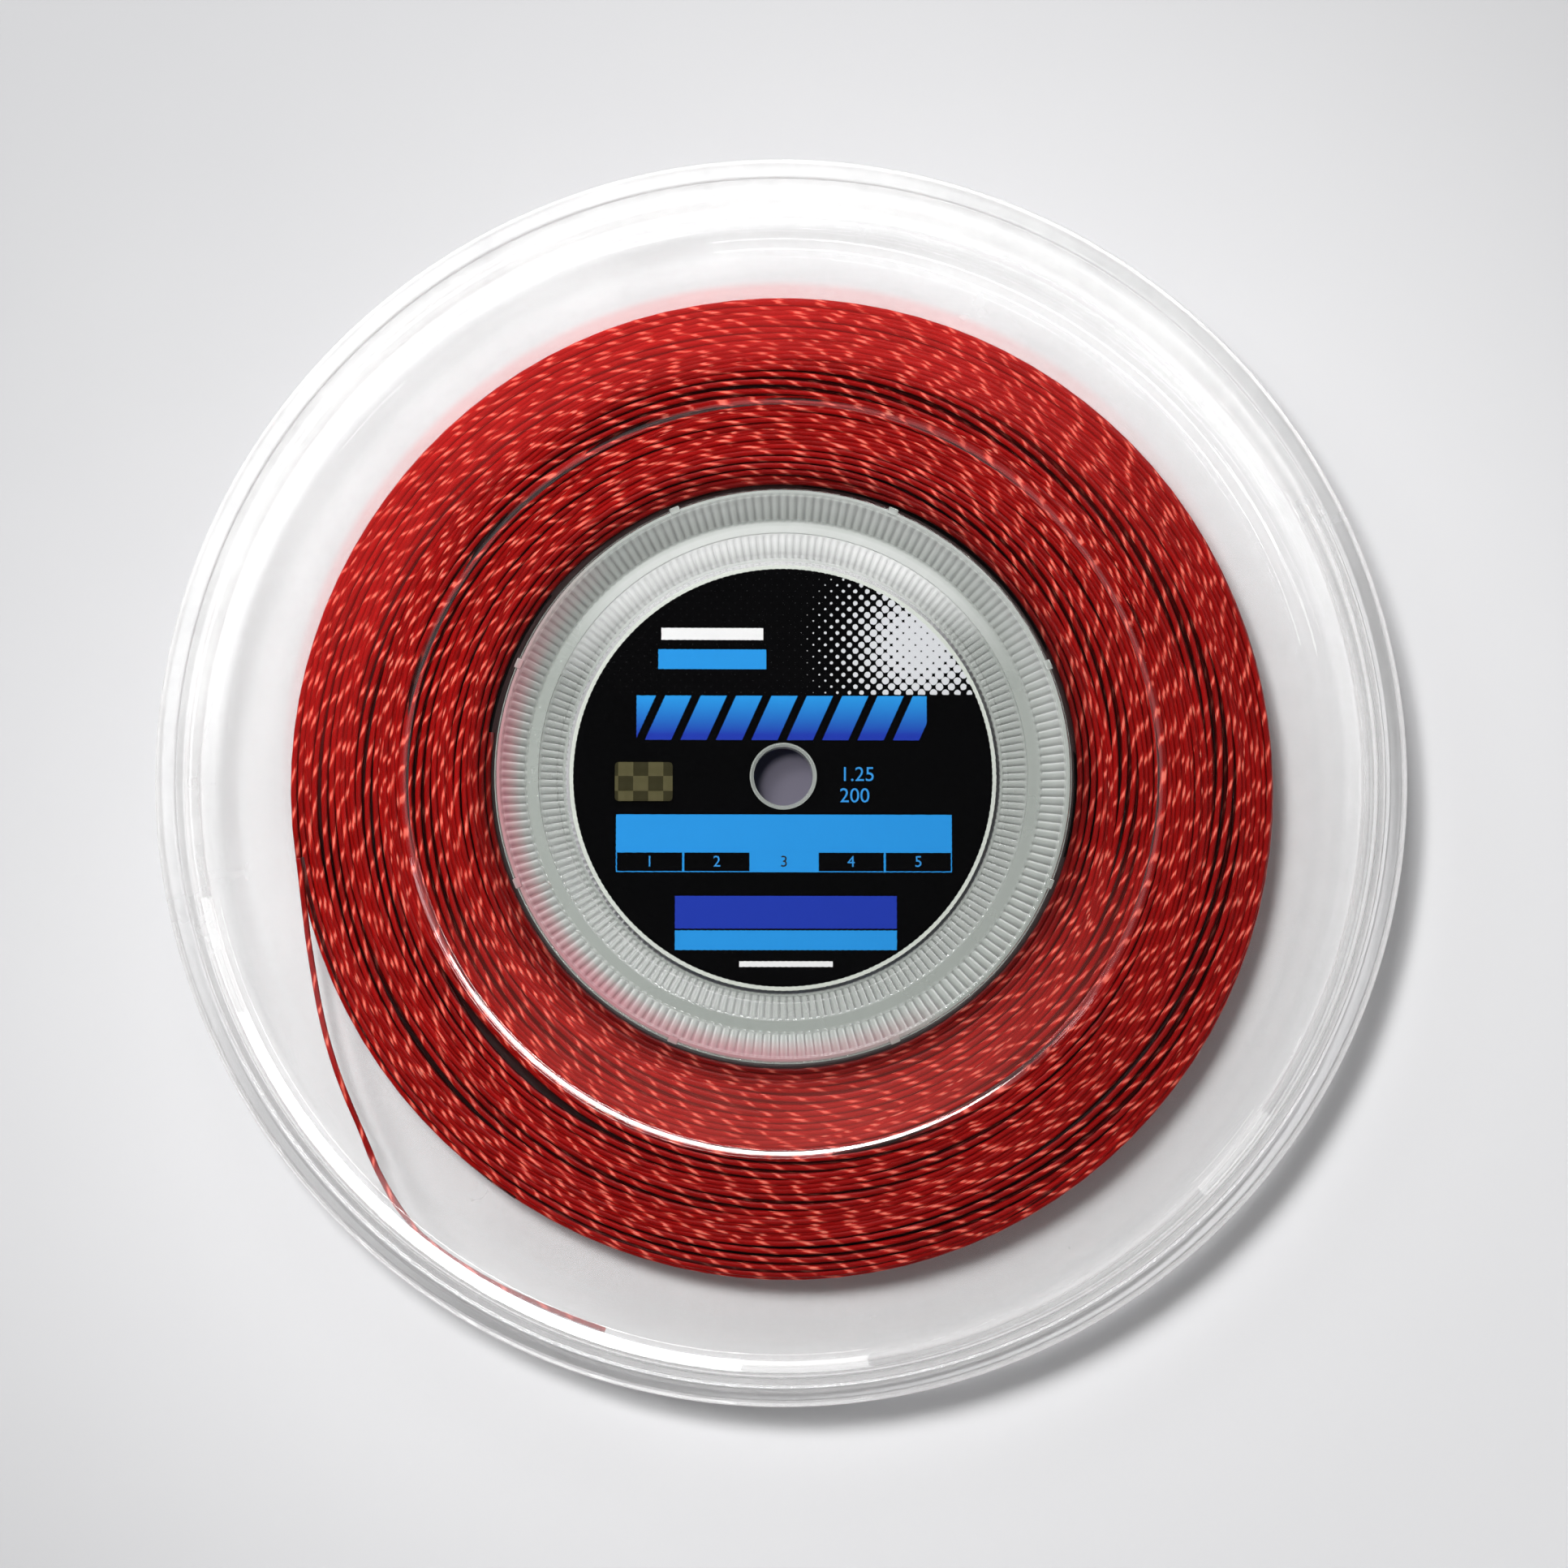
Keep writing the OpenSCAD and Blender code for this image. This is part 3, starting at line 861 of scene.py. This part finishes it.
def halftone(finish, x, y):
    """A mask of dots that shrink away from a corner, above a straight foot."""
    across = ((x + y) / DOT_PITCH).maths("FRACT") - 0.5
    along = ((x - y) / DOT_PITCH).maths("FRACT") - 0.5
    from_dot = (across * across + along * along).maths("SQRT")
    off_x, off_y = x - DOT_CORNER[0], y - DOT_CORNER[1]
    from_corner = (off_x * off_x + off_y * off_y).maths("SQRT")
    dot_r = finish.node("ShaderNodeMapRange", {}, {
        "Value": from_corner, "From Min": 4 * MM, "From Max": 27 * MM, "To Min": 0.62, "To Max": 0.0,
    })
    return (from_dot - dot_r).below(0.0, 0.06) * (1 - y.below(DOT_FOOT, PRINT_SOFT))


def label_finish():
    finish = new_finish("label_print")
    at, x, y, radius = finish.place()
    grain = finish.noise(at, 900.0, 2.0)
    black = finish.mix(grain, BLACK_LOW, BLACK_HIGH)
    colour = finish.mix(halftone(finish, x, y), black, SILVER)

    colour = finish.mix(box_mask(x, y, (-15.3, 30.9), (22.0, 2.6)), colour, WHITE)
    colour = finish.mix(box_mask(x, y, (-15.3, 25.4), (23.3, 4.3)), colour, BLUE)
    fade = finish.node("ShaderNodeMapRange", {}, {"Value": y, "From Min": 9 * MM, "From Max": 17 * MM})
    banner = finish.mix(fade, DEEP_BLUE, BLUE)
    slats = (x * 0.55 - y * 0.25).maths("PINGPONG", 2.1 * MM).below(1.55 * MM, 0.1 * MM)
    colour = finish.mix(box_mask(x, y, (-0.3, 12.7), (62.6, 9.6)) * slats, colour, banner)
    colour = finish.mix(box_mask(x, y, (0.2, -12.2), (72.2, 8.0)), colour, BLUE)
    colour = finish.mix(box_mask(x, y, (0.6, -29.2), (47.6, 7.0)), colour, DEEP_BLUE)
    colour = finish.mix(box_mask(x, y, (0.6, -35.2), (47.6, 4.2)), colour, BLUE)
    colour = finish.mix(box_mask(x, y, (0.6, -40.3), (20.0, 1.2)), colour, WHITE)

    scale_left = (SCALE_AT[0] - SCALE_SIZE[0] / 2) * MM
    cell = ((x - scale_left) / (CELL_W * MM)).maths("FRACT").far(0.5)
    inside = cell.below(0.485, 0.01) * y.far(SCALE_AT[1] * MM).below(2.0 * MM, PRINT_SOFT)
    colour = finish.mix(box_mask(x, y, SCALE_AT, SCALE_SIZE) * (1 - inside), colour, BLUE)
    colour = finish.mix(box_mask(x, y, SCALE_AT, (CELL_W, SCALE_SIZE[1])), colour, BLUE)

    colour = finish.mix(1 - radius.below(PRINT_R, PRINT_SOFT), colour, CARD_EDGE)
    return finish.use(finish.principled(
        Base_Color=colour, Roughness=grain.between(0.3, 0.45), Specular_IOR_Level=0.03
    ))


LABEL_PRINT = label_finish()
LABEL_SECTION = [(7.05, 0.05, 0), (7.05, 0.45, 0.06), (46.0, 0.45, 0.06), (46.0, 0.05, 0)]
for name, side in (("front", 1), ("rear", -1)):
    card = spun(LABEL_SECTION, side)
    piece(f"printed_{name}_label", card, LABEL_PRINT, "label_card", f"{name}_label", crease=CREASE)

# %% [markdown]
# The scale's cells carry plain numbers. A text object gives their outlines, which become a mesh before
# it is moved, and the numbers lie a hair above the print.

# %% Numbers on the label
PRINT_H = 0.465 * MM


def number(name, word, size, at, finish):
    """A plain number on the label, with its size and its centre in millimetres."""
    curve = bpy.data.curves.new(name, "FONT")
    curve.body = word
    curve.size = size * MM
    curve.align_x = "CENTER"
    curve.align_y = "CENTER"
    curve.extrude = 0.01 * MM
    text = bpy.data.objects.new(name, curve)
    scene.collection.objects.link(text)
    bpy.context.view_layer.update()
    mesh = bpy.data.meshes.new_from_object(text.evaluated_get(bpy.context.evaluated_depsgraph_get()))
    bpy.data.objects.remove(text)
    bm = bmesh.new()
    bm.from_mesh(mesh)
    place = Matrix.Translation((at[0] * MM, at[1] * MM, MID_Z + PRINT_H))
    bmesh.ops.transform(bm, matrix=place, verts=bm.verts)
    return piece(name, bm, finish, "label_card", crease=CREASE)


def ink(name, colour):
    finish = new_finish(name)
    at = finish.place()[0]
    speck = finish.noise(at, 2000.0, 2.0)
    shade = finish.mix(speck.between(0.0, 0.12), colour, BLACK)
    return finish.use(finish.principled(Base_Color=shade, Roughness=0.4))


BLUE_INK = ink("blue_ink", BLUE)
BLACK_INK = ink("black_ink", (0.004, 0.004, 0.006, 1))
for i in range(CELLS):
    middle = i == CELLS // 2
    at = (SCALE_AT[0] + (i - CELLS // 2) * CELL_W, SCALE_AT[1])
    number(f"scale_number_{i + 1}", str(i + 1), 3.4, at, BLACK_INK if middle else BLUE_INK)
number("gauge_number", "1.25", 4.4, (16.0, 0.4), BLUE_INK)
number("length_number", "200", 4.4, (15.4, -4.2), BLUE_INK)

# %% [markdown]
# ## The foil seal
#
# A small square of dark foil is stuck on the clear floor. Fine crossed grooves in its surface break the
# light up.

# %% Foil
FOIL_DARK = (0.015, 0.014, 0.006, 1)
FOIL_GOLD = (0.20, 0.18, 0.085, 1)
GROOVE_RATE = 1400
BLOCK_RATE = 310.0


def foil_finish():
    finish = new_finish("dark_foil")
    at, x, y, _ = finish.place()
    fine = ((x + y) * GROOVE_RATE).maths("SINE") * ((x - y) * GROOVE_RATE).maths("SINE")
    blocks = finish.node("ShaderNodeTexChecker", {}, {"Vector": at, "Scale": BLOCK_RATE}, 1)
    colour = finish.mix(blocks.between(0.25, 0.8), FOIL_DARK, FOIL_GOLD)
    return finish.use(finish.principled(
        Base_Color=colour, Metallic=0.7, Roughness=fine.between(0.3, 0.4),
        Normal=finish.bump(fine, 0.01 * MM),
    ))


seal_low, seal_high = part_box("foil_seal")
bm = bmesh.new()
seal_size = seal_high - seal_low
seal_at = Matrix.Translation((seal_low + seal_high) / 2)
bmesh.ops.create_cube(bm, size=1, matrix=seal_at @ Matrix.Diagonal((*seal_size, 1)))
upright = [e for e in bm.edges if abs(e.verts[0].co.z - e.verts[1].co.z) > seal_size.z / 2]
bmesh.ops.bevel(
    bm, geom=upright, offset=0.8 * MM, offset_type="OFFSET", segments=4, profile=0.5, affect="EDGES",
    material=-1,
)
piece("seal_on_floor", bm, foil_finish(), "seal_foil", "foil_seal", crease=CREASE)

# %% [markdown]
# ## The start of the string
#
# The inner end comes through a small hole in the drum and is held by an overhand knot. The knot is a
# trefoil: a closed form of a line that crosses itself three times, and here it stays open at one end
# for the stub.

# %% Knot
KNOT_ANGLE = math.radians(205)
KNOT_FROM_AXIS = 57.6 * MM
KNOT_SIZE = 0.62 * MM
KNOT_AT = np.array((KNOT_FROM_AXIS * math.cos(KNOT_ANGLE), KNOT_FROM_AXIS * math.sin(KNOT_ANGLE), MID_Z))
KNOT_POINTS = 72
KNOT_CLOSED = 0.97

t = np.linspace(0, 2 * math.pi * KNOT_CLOSED, KNOT_POINTS)
knot = np.column_stack((np.sin(t) + 2 * np.sin(2 * t), np.cos(t) - 2 * np.cos(2 * t), -1.4 * np.sin(3 * t)))
knot_strand = strand(knot * KNOT_SIZE + KNOT_AT, STRING_R * 0.9)
piece("start_knot", knot_strand, RED_STRING, "red_string", "string_start_knot")

# %% [markdown]
# Inside the winding lies the plain ring that the turns cover. Only specks of it can show between them,
# and they lie in shade, so it is painted nearly black as shade.

# %% Core
CORE_LOW, CORE_HIGH = (0.005, 0.0005, 0.0005, 1), (0.014, 0.001, 0.001, 1)


def core_finish():
    finish = new_finish("core_in_painted_shade")
    at = finish.place()[0]
    cloud = finish.noise(at, 60.0, 3.0)
    # Painted shade: near-black red that stands for the shade between the turns.
    colour = finish.mix(cloud, CORE_LOW, CORE_HIGH)
    return finish.use(finish.principled(Base_Color=colour, Roughness=0.7))


CORE_SECTION = [
    (61.7, 4.6, 0.5), (61.7, -4.6, 0.5), (79.6, -4.7, 0.5), (81.5, -5.9, 0.5),
    (99.6, -5.9, 0.5), (99.6, 5.9, 0.5), (81.5, 5.9, 0.5), (79.6, 4.7, 0.5),
]
piece("winding_core", spun(CORE_SECTION), core_finish(), "red_string", "string_winding", crease=CREASE)

# %% [markdown]
# ## Floor
#
# The floor is plain and pale. The near key lights it unevenly, so its colour is darker on the key's
# side, and the floor then looks even. From below it is clear, so that the reel's back can be
# looked at too, and lamps shine through it. Through the spindle hole a patch in deep shade shows, which
# is painted on.


# %% Floor
FLOOR_DIM = (0.36, 0.36, 0.368, 1)
FLOOR_PALE = (0.96, 0.96, 0.975, 1)
FLOOR_FAR = (0.97, 0.97, 0.98, 1)
FLOOR_UNDER_HOLE = (0.125, 0.116, 0.15, 1)
FLOOR_HALF = 3
KEY_FADE = 0.24


def floor_finish():
    finish = new_finish("pale_floor")
    at, x, y, radius = finish.place()
    away = (x - y) * math.sqrt(0.5)
    fade = {"Value": away, "From Min": -KEY_FADE, "From Max": KEY_FADE}
    level = finish.node("ShaderNodeMapRange", {}, fade)
    colour = finish.mix(level**1.3, FLOOR_DIM, FLOOR_PALE)
    colour = finish.mix(radius.below(9 * MM, 3 * MM), colour, FLOOR_UNDER_HOLE)
    colour = finish.mix(radius.below(450 * MM, 400 * MM), FLOOR_FAR, colour)
    speck = finish.mix(finish.noise(at, 30.0) * 0.02, colour, (1, 1, 1, 1))
    paper = finish.principled(Base_Color=speck, Roughness=0.7, Specular_IOR_Level=0.1)
    below = finish.node("ShaderNodeNewGeometry", {}, {}, "Backfacing")
    clear = below.maths("MAXIMUM", finish.node("ShaderNodeLightPath", {}, {}, "Is Shadow Ray"))
    return finish.use(finish.blend(clear, paper, finish.node("ShaderNodeBsdfTransparent", {}, {})))


bm = bmesh.new()
bmesh.ops.create_grid(bm, x_segments=1, y_segments=1, size=FLOOR_HALF)
floor_mesh = bpy.data.meshes.new("floor")
bm.to_mesh(floor_mesh)
bm.free()
floor_mesh.materials.append(floor_finish())
floor = bpy.data.objects.new("floor", floor_mesh)
scene.collection.objects.link(floor)
print("the floor is at z = 0")

# %% [markdown]
# ## Light
#
# A near beam at the upper left is the key: it lets the light fall off towards the lower right. A soft
# sun from nearly the same side draws the drop shadow, and two panels fill in from the side and from
# below. What a clear part shows is mostly mirror images, so those have lights of their own that light
# nothing. A row of high strips, brighter in the middle, draws the band on the slope of the flange. A
# row of low ones draws the arc in its step, and a small one a gleam at the lower right.


# %% Kinds of light
def from_reel(bearing, elevation):
    """The direction of a light, in degrees from +X towards +Y and in degrees up."""
    b, e = math.radians(bearing), math.radians(elevation)
    return Vector((math.cos(b) * math.cos(e), math.sin(b) * math.cos(e), math.sin(e)))


def new_light(name, kind, at, aim=(0, 0, 0)):
    light = bpy.data.objects.new(name, bpy.data.lights.new(name, kind))
    light.location = at
    light.rotation_euler = (Vector(aim) - at).to_track_quat("-Z", "Y").to_euler()
    scene.collection.objects.link(light)
    return light


def panel(name, bearing, elevation, distance, size, radiance):
    """A soft panel that faces the reel."""
    light = new_light(name, "AREA", distance * from_reel(bearing, elevation))
    light.data.shape = "RECTANGLE"
    light.data.size, light.data.size_y = size
    light.data.energy = radiance * math.pi * size[0] * size[1]
    return light


def lamp(*settings):
    """A panel that lights surfaces but has no mirror image."""
    light = panel(*settings)
    light.visible_glossy = light.visible_transmission = False


def shine(*settings):
    """A panel that shows only as a mirror image."""
    light = panel(*settings)
    light.visible_diffuse = light.visible_volume_scatter = False


def beam(name, bearing, elevation, distance, radius, power, aim, opening):
    """A round lamp whose beam fades out from the point that it is aimed at."""
    light = new_light(name, "SPOT", distance * from_reel(bearing, elevation), aim)
    light.data.energy = power
    light.data.shadow_soft_size = radius
    light.data.spot_size = math.radians(opening)
    light.data.spot_blend = 1.0
    light.visible_glossy = light.visible_transmission = light.visible_camera = False


def sun(name, bearing, elevation, spread, strength):
    """Even light from one side, with a soft edge to its shadows."""
    light = new_light(name, "SUN", from_reel(bearing, elevation))
    light.data.energy = strength
    light.data.angle = math.radians(spread)
    light.visible_glossy = light.visible_transmission = light.visible_camera = False


print("kinds of light: lamp, shine, beam and sun")

# %% Lights
LIGHT_DISTANCE = 1.2
SLOPE_BEARING, SLOPE_STEP, SLOPE_ELEVATION = 26, 10.5, 48.5
SLOPE_RADIANCES = (5, 12, 20, 24, 22, 14, 6)
LOW_BEARINGS = (44, 67, 90, 113, 136)

beam("key", 150, 77.5, 0.64, 0.04, 12.0, (-0.10, 0.10, 0), 66)
sun("sun", 137, 65, 12, 1.58)
lamp("fill", 125, 40, 0.50, (0.30, 0.30), 3.0)
lamp("under", 300, -55, 0.60, (0.50, 0.50), 1.2)
for i, radiance in enumerate(SLOPE_RADIANCES):
    bearing = SLOPE_BEARING + SLOPE_STEP * i
    shine(f"slope_strip_{i}", bearing, SLOPE_ELEVATION, LIGHT_DISTANCE, (0.16, 0.14), radiance)
for i, bearing in enumerate(LOW_BEARINGS):
    shine(f"low_strip_{i}", bearing, 7.5, LIGHT_DISTANCE, (0.48, 0.12), 30)
shine("spark", 132, 51.3, LIGHT_DISTANCE, (0.12, 0.12), 3.0)
print("lit by", sum(item.type == "LIGHT" for item in scene.objects), "lights")

# %% [markdown]
# The world fills the rest. For mirror rays it is dark overhead, as a real ceiling would be, so that the
# string keeps its depth under the clear flange, and bright near the horizon, so that the slopes of the
# plastic shine. It lights surfaces evenly and softly, and behind the reel it shows as a pale grey.

# %% World
HORIZON, CEILING = 0.9, 0.02
SOFT_LIGHT = 0.26
BACKDROP = 0.76

world = bpy.data.worlds.new("studio")
scene.world = world
sky = Finish(world)
way = sky.node("ShaderNodeTexCoord", {}, {}, "Generated")
height = sky.node("ShaderNodeSeparateXYZ", {}, {"Vector": way}, "Z")
overhead = sky.node("ShaderNodeMapRange", {}, {"Value": height, "From Min": 0.35, "From Max": 0.85})
mirror = sky.node("ShaderNodeLightPath", {}, {}, "Is Glossy Ray")
direct = mirror.output("Is Camera Ray")
level = overhead.between(HORIZON, CEILING) * mirror
level = level + (1 - mirror) * (direct * (BACKDROP - SOFT_LIGHT) + SOFT_LIGHT)
background = sky.node("ShaderNodeBackground", {}, {"Strength": level})
sky.node("ShaderNodeOutputWorld", {}, {"Surface": background})
scene.view_settings.view_transform = "Standard"
print("the world is", world.name)
